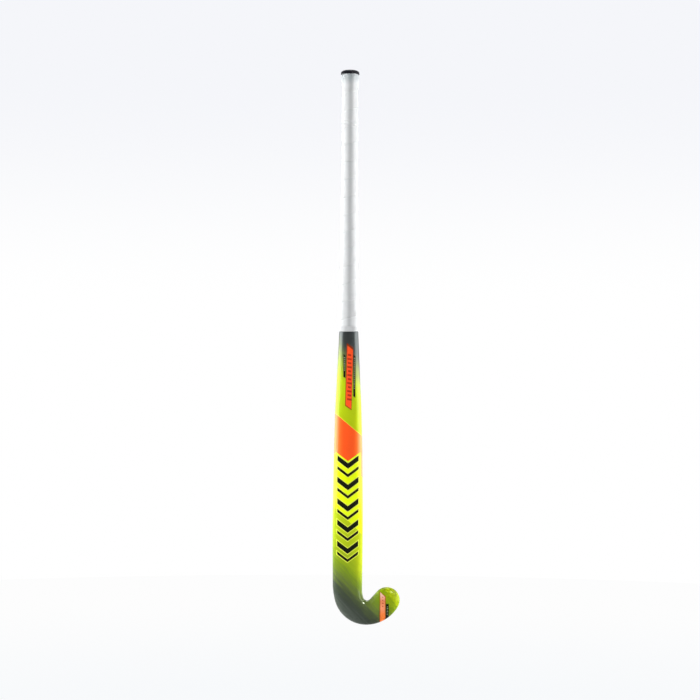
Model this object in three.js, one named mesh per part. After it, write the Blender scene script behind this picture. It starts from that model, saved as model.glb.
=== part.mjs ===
// Field hockey stick, right-handed, 36.5 in. Millimetres, +Z up the handle.
// The toe points to +X, the flat playing face looks to +Y and the rounded back to -Y.
// Heights are measured from the lowest point of the head. The exported group is then moved so that
// its origin is the point inside the handle, at mid-grip, where the stick is held.
import * as THREE from 'three';

// ---- driving dimensions ------------------------------------------------------------------------
const STICK_LENGTH = 927;
const HOLD_HEIGHT = 705;

const SHELL_TOP = 918.5;
const SHELL_WALL = 2.4;
const CORE_GAP = 0.3;
const STRIP_THICKNESS = 0.8;
const TUBE_WALL = 0.9;
const TUBE_BOTTOM = 92;
const TUBE_TOP = 890;
const STRIP_BOTTOM = 110;
const STRIP_TOP = 430;
const FACE_STRIP_WIDTH = 14;
const BACK_STRIP_SPREAD = 0.42;

const GRIP_BOTTOM = 490;
const GRIP_TOP = 921;
const SLEEVE_GAP = 0.2;
const UNDERLAY_BOTTOM = 509;
const UNDERLAY_THICKNESS = 0.5;
const TAPE_THICKNESS = 1.4;
const PRESSED_TAPE_THICKNESS = 1.0;
const POMMEL_BOTTOM = 897;
const POMMEL_THICKNESS = 1.0;
const POMMEL_START_SHARE = 0.25;
const TAPE_STEP_LENGTH = 3;
const BAND_BOTTOM = 488.6;
const BAND_TOP = 497;
const BAND_THICKNESS = 0.4;

const CAP_RADIUS = 15.5;
const CAP_FLAT_RADIUS = 5.5;
const CAP_RIM_HEIGHT = 1.2;
const DOME_STEPS = 5;
const CAP_STEM_RADIUS = 4;
const CAP_STEM_LENGTH = 20;
const PLUG_RADIUS = 8.2;
const PLUG_BOTTOM = 893;

const FILM_GAP = 0.3;
const FILM_THICKNESS = 0.3;

// Laminate sections by height. The widest line of a section lies faceRise behind the playing face.
// faceEdge and backEdge are the widths over which the face and the back round off from that line,
// backRise is the depth of the back behind it, and bow is how far the shaft is set back.
const SECTIONS = [
  { height: 62, halfWidth: 24.6, faceRise: 6, faceEdge: 7, backRise: 14, backEdge: 21.1, bow: 0 },
  { height: 110, halfWidth: 24.9, faceRise: 6, faceEdge: 7.5, backRise: 14.6, backEdge: 24.6, bow: 5.6 },
  { height: 160, halfWidth: 25.1, faceRise: 6.4, faceEdge: 8, backRise: 15, backEdge: 25.1, bow: 14.5 },
  { height: 250, halfWidth: 24.1, faceRise: 7, faceEdge: 8.8, backRise: 15.4, backEdge: 24.1, bow: 23.6 },
  { height: 350, halfWidth: 22, faceRise: 8, faceEdge: 10, backRise: 15.2, backEdge: 22, bow: 23.2 },
  { height: 410, halfWidth: 19.3, faceRise: 9.2, faceEdge: 11, backRise: 14.8, backEdge: 19.3, bow: 21.2 },
  { height: 490, halfWidth: 15.8, faceRise: 11, faceEdge: 12.6, backRise: 13.6, backEdge: 15.8, bow: 18.1 },
  { height: 560, halfWidth: 13.4, faceRise: 11.8, faceEdge: 12.8, backRise: 12.4, backEdge: 13.4, bow: 15.2 },
  { height: 650, halfWidth: 11.9, faceRise: 11.8, faceEdge: 11.9, backRise: 11.8, backEdge: 11.9, bow: 11.4 },
  { height: 760, halfWidth: 11.3, faceRise: 11.6, faceEdge: 11.3, backRise: 11.4, backEdge: 11.3, bow: 6.9 },
  { height: 927, halfWidth: 11.2, faceRise: 11.5, faceEdge: 11.2, backRise: 11.3, backEdge: 11.2, bow: 0 },
];

// The hook's outline is a chain of tangent arcs, seen from the back.
const HEEL_TOP_HEIGHT = 71;
const HEEL_RADIUS = 125;
const BASE_RADIUS = 54.1;
const TOE_CENTRE = { x: 65.8, z: 41.3 };
const TOE_RADIUS = 21.7;
const CROOK_CENTRE = { x: 33, z: 47.4 };
const CROOK_RADIUS = 6.7;
const INNER_ARC_RADIUS = 50;

// Stations along the stick and points across each section.
const ACROSS = 10;
const HALF_ACROSS = 6;
const SHAFT_HEIGHTS = [92, 110, 135, 165, 200, 240, 280, 320, 360, 395, 430, 460];
const HANDLE_HEIGHTS = [490, 497, 509, 550, 600, 660, 730, 800, 890, 897, 905, 913, SHELL_TOP];
const INNER_ARC_STEPS = 2;
const CROOK_STEPS = 9;
const LIMB_STEPS = 2;
const TOE_STEPS = 5;

// ---- section and outline -----------------------------------------------------------------------
const SECTION_KEYS = ['halfWidth', 'faceRise', 'faceEdge', 'backRise', 'backEdge', 'bow'];

// Slope of one section value at a row, never steeper than lets the curve stay between its rows.
function rowSlope(row, key) {
  if (row === 0 || row === SECTIONS.length - 1) return 0;
  const [before, here, after] = [SECTIONS[row - 1], SECTIONS[row], SECTIONS[row + 1]];
  const left = (here[key] - before[key]) / (here.height - before.height);
  const right = (after[key] - here[key]) / (after.height - here.height);
  return left * right <= 0 ? 0 : (2 * left * right) / (left + right);
}

// The section at a height, on a smooth curve through the rows.
function sectionAt(height) {
  const last = SECTIONS.length - 1;
  const z = Math.min(Math.max(height, SECTIONS[0].height), SECTIONS[last].height);
  let row = 0;
  while (row < last - 1 && z > SECTIONS[row + 1].height) row += 1;
  const span = SECTIONS[row + 1].height - SECTIONS[row].height;
  const t = (z - SECTIONS[row].height) / span;
  const section = {};
  for (const key of SECTION_KEYS) {
    const startSlope = row === 0 ? 0 : rowSlope(row, key);
    const endSlope = row + 1 === last ? endRowSlope(key) : rowSlope(row + 1, key);
    section[key] = SECTIONS[row][key] * (1 + 2 * t) * (1 - t) ** 2
      + SECTIONS[row + 1][key] * t * t * (3 - 2 * t)
      + span * t * (1 - t) * ((1 - t) * startSlope - t * endSlope);
  }
  return section;
}

// The top row's slope: the handle runs straight out of the top.
function endRowSlope(key) {
  const [before, end] = SECTIONS.slice(-2);
  return (end[key] - before[key]) / (end.height - before.height);
}

function circle(x, z, radius) {
  return { x, z, radius };
}

function distanceTo(point, x, z) {
  return Math.hypot(x - point.x, z - point.z);
}

// Positive where (bx, bz) lies anticlockwise of (ax, az).
function turn(ax, az, bx, bz) {
  return ax * bz - az * bx;
}

const shaftHalfWidth = sectionAt(HEEL_TOP_HEIGHT).halfWidth;
const heel = circle(HEEL_RADIUS - shaftHalfWidth, HEEL_TOP_HEIGHT, HEEL_RADIUS);
const baseX = heel.x - Math.sqrt((HEEL_RADIUS - BASE_RADIUS) ** 2 - (BASE_RADIUS - heel.z) ** 2);
const base = circle(baseX, BASE_RADIUS, BASE_RADIUS);
const soleRadius = ((TOE_CENTRE.x - baseX) ** 2 + TOE_CENTRE.z ** 2 - TOE_RADIUS ** 2)
  / (2 * (TOE_CENTRE.z - TOE_RADIUS));
const sole = circle(baseX, soleRadius, soleRadius);
const toe = circle(TOE_CENTRE.x, TOE_CENTRE.z, TOE_RADIUS);
const crook = circle(CROOK_CENTRE.x, CROOK_CENTRE.z, CROOK_RADIUS);

// A straight joins the crook to the toe, tangent to both.
const crookToToe = Math.atan2(toe.z - crook.z, toe.x - crook.x);
const straightNormalAngle = crookToToe
  - Math.acos((crook.radius + toe.radius) / distanceTo(crook, toe.x, toe.z));
const straightNormal = { x: Math.cos(straightNormalAngle), z: Math.sin(straightNormalAngle) };
const toeDirection = { x: -straightNormal.z, z: straightNormal.x };

const innerArcX = shaftHalfWidth + INNER_ARC_RADIUS;
const innerArcZ = crook.z
  + Math.sqrt((INNER_ARC_RADIUS - crook.radius) ** 2 - (innerArcX - crook.x) ** 2);
const innerArc = circle(innerArcX, innerArcZ, INNER_ARC_RADIUS);
const innerArcEnd = Math.PI + Math.atan2(innerArc.z - crook.z, innerArc.x - crook.x);

function inToeSector(x, z) {
  if (x < base.x) return false;
  const fromSole = turn(toe.x - sole.x, toe.z - sole.z, x - toe.x, z - toe.z) > 0;
  const toStraight = turn(x - toe.x, z - toe.z, -straightNormal.x, -straightNormal.z) > 0;
  return fromSole && toStraight;
}

// Distance inside the outer edge, from the heel round the base to the toe.
function outerDistance(x, z) {
  if (x >= base.x) return sole.radius - distanceTo(sole, x, z);
  if (z >= heel.z) return x + sectionAt(z).halfWidth;
  const aboveJoin = turn(base.x - heel.x, base.z - heel.z, x - base.x, z - base.z) < 0;
  return aboveJoin ? heel.radius - distanceTo(heel, x, z) : base.radius - distanceTo(base, x, z);
}

// Distance inside the inner edge, from the shaft round the crook to the toe.
function innerDistance(x, z) {
  const beyondCrook = (x - crook.x) * toeDirection.x + (z - crook.z) * toeDirection.z > 0;
  if (x < crook.x) {
    if (z >= innerArc.z) return sectionAt(z).halfWidth - x;
    const onArc = turn(crook.x - innerArc.x, crook.z - innerArc.z, x - innerArc.x, z - innerArc.z) < 0;
    if (onArc) return distanceTo(innerArc, x, z) - innerArc.radius;
  }
  if (!beyondCrook) return distanceTo(crook, x, z) - crook.radius;
  return (x - crook.x) * straightNormal.x + (z - crook.z) * straightNormal.z - crook.radius;
}

// Distance of a point of the silhouette from its nearest edge.
function edgeDistance(x, z) {
  if (inToeSector(x, z)) return toe.radius - distanceTo(toe, x, z);
  return Math.min(outerDistance(x, z), innerDistance(x, z));
}

// Height of an elliptical edge: 0 at the widest line, 1 past the edge's width.
function edgeRise(distance, width) {
  const t = Math.min(Math.max(distance / width, 0), 1);
  return Math.sqrt(1 - (1 - t) ** 2);
}

// Points on the face and on the back, inset below the laminate's surface or, if negative, above it.
function facePoint(x, z, inset) {
  const s = sectionAt(z);
  const rise = edgeRise(edgeDistance(x, z) - inset, s.faceEdge - inset);
  return [x, -s.faceRise - s.bow + (s.faceRise - inset) * rise, z];
}

function backPoint(x, z, inset) {
  const s = sectionAt(z);
  const rise = edgeRise(edgeDistance(x, z) - inset, s.backEdge - inset);
  return [x, -s.faceRise - s.bow - (s.backRise - inset) * rise, z];
}

// ---- ribs: lines across the silhouette, from the toe up to the top ---------------------------------
function rib(x, z, angle) {
  return { x, z, dx: Math.cos(angle), dz: Math.sin(angle) };
}

function shaftRib(height) {
  return rib(0, height, Math.PI);
}

const SPINE_OFFSET = 21;
const CLOSE_ENOUGH = 1e-5;
const MOST_STEPS = 4000;

function toeRibs(inset) {
  const ribs = [];
  for (let step = 0; step < TOE_STEPS; step += 1) {
    const along = (toe.radius - inset) * Math.cos((step / TOE_STEPS) * (Math.PI / 2));
    const x = toe.x + toeDirection.x * along;
    const z = toe.z + toeDirection.z * along;
    ribs.push(rib(x, z, straightNormalAngle));
  }
  return ribs;
}

function hookRibs() {
  const ribs = [];
  const crookEnd = straightNormalAngle + 2 * Math.PI;
  const spine = crook.radius + SPINE_OFFSET;
  const limb = { x: crook.x + spine * straightNormal.x, z: crook.z + spine * straightNormal.z };
  for (let step = 0; step < LIMB_STEPS; step += 1) {
    const t = step / LIMB_STEPS;
    ribs.push(rib(toe.x + (limb.x - toe.x) * t, toe.z + (limb.z - toe.z) * t, straightNormalAngle));
  }
  for (let step = 0; step < CROOK_STEPS; step += 1) {
    const angle = crookEnd + (innerArcEnd - crookEnd) * (step / CROOK_STEPS);
    ribs.push(rib(crook.x + spine * Math.cos(angle), crook.z + spine * Math.sin(angle), angle));
  }
  const arcSpine = innerArc.radius + SPINE_OFFSET;
  for (let step = 0; step <= INNER_ARC_STEPS; step += 1) {
    const angle = innerArcEnd + (Math.PI - innerArcEnd) * (step / INNER_ARC_STEPS);
    const x = innerArc.x + arcSpine * Math.cos(angle);
    const z = innerArc.z + arcSpine * Math.sin(angle);
    ribs.push(rib(x, z, angle));
  }
  return ribs;
}

// How far a rib runs from its spine point to the inset edge, on one side (+1 heel, -1 crook).
function reach(line, side, inset) {
  let length = 0;
  for (let step = 0; step < MOST_STEPS; step += 1) {
    const x = line.x + side * line.dx * length;
    const z = line.z + side * line.dz * length;
    const left = edgeDistance(x, z) - inset;
    if (left < CLOSE_ENOUGH) break;
    length += left;
  }
  return length;
}

// One station: the face row and the back row of points over the same rib.
function station(line, inset) {
  const towardsCrook = -reach(line, -1, inset);
  const towardsHeel = reach(line, 1, inset);
  const rows = { face: [], back: [] };
  for (let k = 0; k <= ACROSS; k += 1) {
    const share = (1 - Math.cos((k / ACROSS) * Math.PI)) / 2;
    const offset = towardsCrook + (towardsHeel - towardsCrook) * share;
    const x = line.x + line.dx * offset;
    const z = line.z + line.dz * offset;
    rows.face.push(facePoint(x, z, inset));
    rows.back.push(backPoint(x, z, inset));
  }
  return rows;
}

function shaftStations(heights, inset) {
  return heights.map((height) => station(shaftRib(height), inset));
}

// The toe's end station shrinks to one point.
function toeTip(inset) {
  const along = toe.radius - inset;
  const x = toe.x + toeDirection.x * along;
  const z = toe.z + toeDirection.z * along;
  const point = [x, -sectionAt(z).faceRise - sectionAt(z).bow, z];
  const row = Array.from({ length: ACROSS + 1 }, () => point);
  return { face: row, back: row };
}

function headStations(inset) {
  const lines = [...toeRibs(inset).slice(1), ...hookRibs()];
  return [toeTip(inset), ...lines.map((line) => station(line, inset))];
}

// One side of the shaft only: side is +1 towards the toe, -1 towards the heel.
function halfStation(height, side, inset, middleGap) {
  const halfWidth = sectionAt(height).halfWidth - inset;
  const rows = { face: [], back: [] };
  for (let k = 0; k <= HALF_ACROSS; k += 1) {
    const share = Math.sin((k / HALF_ACROSS) * (Math.PI / 2));
    const x = side * (middleGap + (halfWidth - middleGap) * share);
    rows.face.push(facePoint(x, height, inset));
    rows.back.push(backPoint(x, height, inset));
  }
  return rows;
}

// ---- closed meshes from stations -------------------------------------------------------------------
const MERGE_STEP = 1e-4;

// An inner surface is walked the other way, and its four-sided facets are split along the same diagonal
// as those of the surface round it, so that nested pieces stay parallel.
function inwards(stations) {
  return [...stations].reverse().map((rows) => ({ ...rows, inner: true }));
}

// Joins a chain of stations into one closed surface. Ends are closed flat, or to each other if cyclic.
function solidFromStations(stations, cyclic = false) {
  const positions = [];
  const indexByPlace = new Map();
  const triangles = [];

  const vertex = (point) => {
    const place = point.map((value) => Math.round(value / MERGE_STEP)).join(' ');
    if (!indexByPlace.has(place)) {
      indexByPlace.set(place, positions.length / 3);
      positions.push(...point);
    }
    return indexByPlace.get(place);
  };
  const triangle = (a, b, c) => {
    if (a !== b && b !== c && c !== a) triangles.push([a, b, c]);
  };
  const quad = (a, b, c, d) => {
    triangle(a, b, c);
    triangle(a, c, d);
  };
  const loops = stations.map(({ face, back }) => [...face, ...[...back].reverse()].map(vertex));
  const strips = cyclic ? loops.length : loops.length - 1;
  for (let row = 0; row < strips; row += 1) {
    const nextRow = (row + 1) % loops.length;
    const [here, next] = [loops[row], loops[nextRow]];
    for (let k = 0; k < here.length; k += 1) {
      const after = (k + 1) % here.length;
      if (stations[row].inner && stations[nextRow].inner) quad(here[after], next[after], next[k], here[k]);
      else quad(here[k], here[after], next[after], next[k]);
    }
  }
  if (!cyclic) {
    closeEnd(loops[0], quad, true);
    closeEnd(loops[loops.length - 1], quad, false);
  }
  return closedGeometry(positions, triangles);
}

function closeEnd(loop, quad, first) {
  const last = loop.length - 1;
  for (let k = 0; k < loop.length / 2 - 1; k += 1) {
    const corners = [loop[k], loop[last - k], loop[last - k - 1], loop[k + 1]];
    quad(...(first ? corners : corners.reverse()));
  }
}

function signedVolume(positions, triangles) {
  let volume = 0;
  for (const [a, b, c] of triangles) {
    const [pa, pb, pc] = [a, b, c].map((i) => new THREE.Vector3().fromArray(positions, i * 3));
    volume += pa.dot(pb.cross(pc)) / 6;
  }
  return volume;
}

function closedGeometry(positions, triangles) {
  const outwards = signedVolume(positions, triangles) > 0;
  const indices = triangles.flatMap(([a, b, c]) => (outwards ? [a, b, c] : [a, c, b]));
  const geometry = new THREE.BufferGeometry();
  geometry.setAttribute('position', new THREE.Float32BufferAttribute(positions, 3));
  geometry.setIndex(indices);
  geometry.computeVertexNormals();
  return geometry;
}

// A sleeve between two inset surfaces, each given as a list of [height, inset].
function sleeve(outer, inner) {
  const ring = ([height, inset]) => station(shaftRib(height), inset);
  return solidFromStations([...outer.map(ring), ...inwards(inner.map(ring))], true);
}

// ---- sub-parts -------------------------------------------------------------------------------------
const group = new THREE.Group();
group.position.set(0, sectionAt(HOLD_HEIGHT).faceRise + sectionAt(HOLD_HEIGHT).bow, -HOLD_HEIGHT);

function addPart(name, geometry, color, roughness, metalness = 0) {
  const material = new THREE.MeshStandardMaterial({ color, roughness, metalness });
  const mesh = new THREE.Mesh(geometry, material);
  mesh.name = name;
  group.add(mesh);
}

// The moulded composite skin: hook, shaft and handle in one piece, open at the top.
function outerShell() {
  const heights = [...SHAFT_HEIGHTS, ...HANDLE_HEIGHTS];
  const outside = [...headStations(0), ...shaftStations(heights, 0)];
  const inside = [...headStations(SHELL_WALL), ...shaftStations(heights, SHELL_WALL)];
  return solidFromStations([...outside, ...inwards(inside)]);
}

const CORE_INSET = SHELL_WALL + CORE_GAP;
const TUBE_INSET = CORE_INSET + STRIP_THICKNESS + CORE_GAP;
const MIDDLE_GAP = CORE_GAP / 2;

// Dense foam that fills the hook up to the ends of the shaft tubes.
function headCore() {
  const topHeight = TUBE_BOTTOM - CORE_GAP;
  return solidFromStations([...headStations(CORE_INSET), ...shaftStations([topHeight], CORE_INSET)]);
}

function tubeHeights() {
  const between = [...SHAFT_HEIGHTS, ...HANDLE_HEIGHTS].filter((z) => z > TUBE_BOTTOM && z < TUBE_TOP);
  return [TUBE_BOTTOM, ...between, TUBE_TOP];
}

// Two tubes run side by side from the hook to the handle: their inner walls make the centre web.
function shaftTube(side) {
  const ring = (inset, middle) => tubeHeights().map((z) => halfStation(z, side, inset, middle));
  const outside = ring(TUBE_INSET, MIDDLE_GAP);
  const inside = ring(TUBE_INSET + TUBE_WALL, MIDDLE_GAP + TUBE_WALL);
  return solidFromStations([...outside, ...inwards(inside)], true);
}

function tubeFoam(side) {
  const inset = TUBE_INSET + TUBE_WALL + CORE_GAP;
  const middle = MIDDLE_GAP + TUBE_WALL + CORE_GAP;
  return solidFromStations(tubeHeights().map((z) => halfStation(z, side, inset, middle)));
}

function stripHeights() {
  const between = SHAFT_HEIGHTS.filter((z) => z > STRIP_BOTTOM && z < STRIP_TOP);
  return [STRIP_BOTTOM, ...between, STRIP_TOP];
}

const STRIP_ACROSS = 4;

// A flat plank of stiffer fibre inside the playing side, or a curved one inside the back.
function stiffener(surfacePoint, halfWidthAt) {
  return solidFromStations(stripHeights().map((z) => {
    const rows = { face: [], back: [] };
    for (let k = 0; k <= STRIP_ACROSS; k += 1) {
      const x = halfWidthAt(z) * ((2 * k) / STRIP_ACROSS - 1);
      rows.face.push(surfacePoint(x, z, CORE_INSET));
      rows.back.push(surfacePoint(x, z, CORE_INSET + STRIP_THICKNESS));
    }
    return rows;
  }));
}

const faceStiffener = () => stiffener(facePoint, () => FACE_STRIP_WIDTH / 2);
const backStiffener = () => stiffener(backPoint, (z) => BACK_STRIP_SPREAD * sectionAt(z).halfWidth);

function sleeveHeights(bottom, top) {
  return [bottom, ...HANDLE_HEIGHTS.filter((z) => z > bottom && z < top), top];
}

// 0 at the pressed lower end of the grip, 1 where the tape has its full thickness.
function gripFullness(height) {
  const t = (height - BAND_TOP) / (UNDERLAY_BOTTOM - BAND_TOP);
  return Math.min(Math.max(t, 0), 1);
}

// The build-up ring under the top of the tape swells the handle towards the cap.
function pommelThickness(height) {
  const t = (height - POMMEL_BOTTOM) / (SHELL_TOP - POMMEL_BOTTOM);
  return POMMEL_THICKNESS * (POMMEL_START_SHARE + (1 - POMMEL_START_SHARE) * Math.min(Math.max(t, 0), 1));
}

const UNDERLAY_OUTSIDE = SLEEVE_GAP + UNDERLAY_THICKNESS;
const OVER_UNDERLAY = UNDERLAY_OUTSIDE + SLEEVE_GAP;

function tapeInside(height) {
  const onShaft = SLEEVE_GAP + (OVER_UNDERLAY - SLEEVE_GAP) * gripFullness(height);
  return height < POMMEL_BOTTOM ? onShaft : OVER_UNDERLAY + pommelThickness(height) + SLEEVE_GAP;
}

function tapeOutside(height) {
  const thickness = PRESSED_TAPE_THICKNESS
    + (TAPE_THICKNESS - PRESSED_TAPE_THICKNESS) * gripFullness(height);
  return tapeInside(height) + thickness;
}

// Foam underlay wound on the handle before the tape.
function gripUnderlay() {
  const heights = sleeveHeights(UNDERLAY_BOTTOM, SHELL_TOP);
  return sleeve(heights.map((z) => [z, -UNDERLAY_OUTSIDE]), heights.map((z) => [z, -SLEEVE_GAP]));
}

function pommelRing() {
  const heights = sleeveHeights(POMMEL_BOTTOM, SHELL_TOP);
  return sleeve(
    heights.map((z) => [z, -OVER_UNDERLAY - pommelThickness(z)]),
    heights.map((z) => [z, -OVER_UNDERLAY]),
  );
}

function cushionGrip() {
  const heights = sleeveHeights(GRIP_BOTTOM, GRIP_TOP);
  // the tape steps out just below the build-up ring
  const below = POMMEL_BOTTOM - TAPE_STEP_LENGTH;
  const stepped = [...heights.filter((z) => z < below), below, ...heights.filter((z) => z >= POMMEL_BOTTOM)];
  return sleeve(
    stepped.map((z) => [z, -tapeOutside(z)]),
    stepped.map((z) => [z, -tapeInside(z)]),
  );
}

// The self-adhesive band that holds the lower end of the tape down and laps onto the shaft.
function finishingBand() {
  const over = tapeOutside(GRIP_BOTTOM) + SLEEVE_GAP;
  const outside = over + BAND_THICKNESS;
  const lip = GRIP_BOTTOM - SLEEVE_GAP;
  return sleeve(
    [[BAND_BOTTOM, -outside], [GRIP_BOTTOM, -outside], [BAND_TOP, -outside]],
    [[BAND_BOTTOM, -SLEEVE_GAP], [lip, -SLEEVE_GAP], [lip, -over], [BAND_TOP, -over]],
  );
}

const ROUND_STEPS = 14;

// A round station on the handle's centre line.
function roundStation([height, radius]) {
  const { faceRise, bow } = sectionAt(height);
  const rows = { face: [], back: [] };
  for (let k = 0; k <= ROUND_STEPS; k += 1) {
    const angle = (k / ROUND_STEPS) * Math.PI;
    const x = radius * Math.cos(angle);
    const depth = radius * Math.sin(angle);
    rows.face.push([x, -faceRise - bow + depth, height]);
    rows.back.push([x, -faceRise - bow - depth, height]);
  }
  return rows;
}

// Domed rubber cap with a small flat on top and a stem that is glued into the plug.
function buttCap() {
  const rimBottom = GRIP_TOP + CORE_GAP;
  const domeBottom = rimBottom + CAP_RIM_HEIGHT;
  const profile = [
    [rimBottom - CAP_STEM_LENGTH, CAP_STEM_RADIUS],
    [rimBottom, CAP_STEM_RADIUS],
    [rimBottom, CAP_RADIUS],
  ];
  for (let step = 0; step <= DOME_STEPS; step += 1) {
    const angle = (step / DOME_STEPS) * (Math.PI / 2);
    profile.push([
      domeBottom + (STICK_LENGTH - domeBottom) * Math.sin(angle),
      CAP_FLAT_RADIUS + (CAP_RADIUS - CAP_FLAT_RADIUS) * Math.cos(angle),
    ]);
  }
  return solidFromStations(profile.map(roundStation));
}

// A hollow plug that closes the handle's bore and takes the cap's stem.
function buttPlug() {
  const hole = CAP_STEM_RADIUS + CORE_GAP;
  const outside = [[PLUG_BOTTOM, PLUG_RADIUS], [SHELL_TOP, PLUG_RADIUS]].map(roundStation);
  const inside = [[PLUG_BOTTOM, hole], [SHELL_TOP, hole]].map(roundStation);
  return solidFromStations([...outside, ...inwards(inside)], true);
}

// ---- printed films on the back ---------------------------------------------------------------------
// A film is a thin sheet over the back. place(u, v) gives [x, height] for u and v from 0 to 1.
function film(place, alongSteps, acrossSteps) {
  const stations = [];
  for (let i = 0; i <= alongSteps; i += 1) {
    const rows = { face: [], back: [] };
    for (let k = 0; k <= acrossSteps; k += 1) {
      const [x, z] = place(i / alongSteps, k / acrossSteps);
      rows.face.push(backPoint(x, z, -FILM_GAP - FILM_THICKNESS));
      rows.back.push(backPoint(x, z, -FILM_GAP));
    }
    stations.push(rows);
  }
  return solidFromStations(stations);
}

// Plates with slanted ends: slant is how much lower the right side lies than the left side.
const NAMEPLATE = { left: -3.4, right: 6.2, bottom: 363, top: 463, slant: 7 };
const LEFT_PLATE = { left: -9.2, right: -4.8, bottom: 412, top: 452, slant: 4 };
const RIGHT_PLATE = { left: 8.2, right: 12.2, bottom: 380, top: 448, slant: 4 };
const PLATE_STEP = 25;

function slantedPlate({ left, right, bottom, top, slant }) {
  const place = (u, v) => {
    const x = left + (right - left) * v;
    const drop = slant * (v - 0.5);
    return [x, bottom - drop + (top - bottom) * u];
  };
  return film(place, Math.max(2, Math.round((top - bottom) / PLATE_STEP)), 3);
}

const CHEVRON_COUNT = 5;
const CHEVRON_PITCH = 35.5;
const CHEVRON_FIRST = 262;
const CHEVRON_HALF_WIDTH = 17.5;
const CHEVRON_RISE = 13;
const CHEVRON_STROKES = { wide: { drop: 0, stroke: 9 }, narrow: { drop: 14, stroke: 5 } };

const STRIPE_MIDDLE = 301.2;
const STRIPE_DEPTH = 67.8;
const STRIPE_SLOPE = 0.85;
const STRIPE_REACH = 0.95;
const STRIPE_CUT_MARGIN = 3;
const STRIPE_CUT_END = 0.84;
const STRIPE_STOPS = [-1, -0.94, -0.86, -0.7, -0.5, -0.25, 0, 0.25, 0.5, 0.7, STRIPE_CUT_END, 0.86, 0.94, 1];

// Height of the upper edge of the first chevron at x.
function firstChevronTop(x) {
  const { drop, stroke } = CHEVRON_STROKES.wide;
  return CHEVRON_FIRST - drop + stroke + CHEVRON_RISE * Math.abs(x / CHEVRON_HALF_WIDTH);
}

// The broad diagonal stripe runs from edge to edge of the back, and is cut back round the first chevron.
function diagonalStripe() {
  const place = (u, v) => {
    const stop = STRIPE_STOPS[Math.round(v * (STRIPE_STOPS.length - 1))];
    const x = stop * sectionAt(STRIPE_MIDDLE).halfWidth;
    const top = STRIPE_MIDDLE + STRIPE_DEPTH / 2 - STRIPE_SLOPE * x;
    const cut = stop <= STRIPE_CUT_END ? firstChevronTop(x) + STRIPE_CUT_MARGIN : 0;
    const bottom = Math.max(top - STRIPE_DEPTH, cut);
    const z = bottom + (top - bottom) * u;
    return [stop * STRIPE_REACH * sectionAt(z).halfWidth, z];
  };
  return film(place, 4, STRIPE_STOPS.length - 1);
}

// A V-shaped bar that points down the shaft.
function chevron(index, { drop, stroke }) {
  const tip = CHEVRON_FIRST - index * CHEVRON_PITCH - drop;
  const place = (u, v) => {
    const across = 2 * u - 1;
    return [CHEVRON_HALF_WIDTH * across, tip + CHEVRON_RISE * Math.abs(across) + stroke * v];
  };
  return film(place, 8, 1);
}

// Bars down the toe: the heights of the left and right ends of their tops.
const TOE_BAR = { left: 54, right: 63.6, leftTop: 56.3, rightTop: 48.8 };
const TOE_MARK = { left: 64.6, right: 68.9, leftTop: 36.5, rightTop: 36.5 };
const SOLE_CLEARANCE = 5;
const TOE_BAR_STEPS = 20;

// A bar from just above the sole up to its slanted top.
function toeBar({ left, right, leftTop, rightTop }) {
  const place = (u, v) => {
    const x = left + (right - left) * v;
    const bottom = soleHeight(x) + SOLE_CLEARANCE;
    const top = leftTop + (rightTop - leftTop) * v;
    return [x, bottom + (top - bottom) * u];
  };
  return film(place, TOE_BAR_STEPS, 2);
}

// Height of the sole's edge at x.
function soleHeight(x) {
  return sole.z - Math.sqrt(sole.radius ** 2 - (x - sole.x) ** 2);
}

// ---- assembly --------------------------------------------------------------------------------------
addPart('outer_shell', outerShell(), 0xc8dc20, 0.25);
addPart('head_core', headCore(), 0xe6dcc0, 0.9);
for (const [name, side] of [['heel_side', -1], ['toe_side', 1]]) {
  addPart(`${name}_tube`, shaftTube(side), 0x2c2d30, 0.45);
  addPart(`${name}_foam`, tubeFoam(side), 0xe9e2cc, 0.95);
}
addPart('face_stiffener', faceStiffener(), 0x1f2022, 0.4);
addPart('back_stiffener', backStiffener(), 0x1f2022, 0.4);
addPart('grip_underlay', gripUnderlay(), 0xb9bcbc, 0.95);
addPart('pommel_ring', pommelRing(), 0x3a3a3c, 0.85);
addPart('cushion_grip', cushionGrip(), 0xf0f1f0, 0.6);
addPart('finishing_band', finishingBand(), 0xfafafa, 0.4);
addPart('butt_plug', buttPlug(), 0xcfc9b8, 0.7);
addPart('butt_cap', buttCap(), 0x1d1d22, 0.6);

addPart('nameplate_film', slantedPlate(NAMEPLATE), 0xf55423, 0.35);
addPart('left_plate_film', slantedPlate(LEFT_PLATE), 0x151515, 0.35);
addPart('right_plate_film', slantedPlate(RIGHT_PLATE), 0x151515, 0.35);
addPart('diagonal_stripe_film', diagonalStripe(), 0xf55423, 0.35);
for (let index = 0; index < CHEVRON_COUNT; index += 1) {
  for (const [name, stroke] of Object.entries(CHEVRON_STROKES)) {
    addPart(`${name}_chevron_film_${index + 1}`, chevron(index, stroke), 0x0f1010, 0.35);
  }
}
addPart('toe_bar_film', toeBar(TOE_BAR), 0xf0603a, 0.35);
addPart('toe_mark_film', toeBar(TOE_MARK), 0x151515, 0.35);

export default group;
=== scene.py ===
"""A field hockey stick, seen from its rounded back and kept upright over a pale floor.

Shapes are worked out in the stick's own millimetres: x towards the toe, y towards the flat playing
face, which lies at y = 0, and z the height above the lowest point of the head. place() moves points
from there into the frame.
"""
import math
from types import SimpleNamespace

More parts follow.
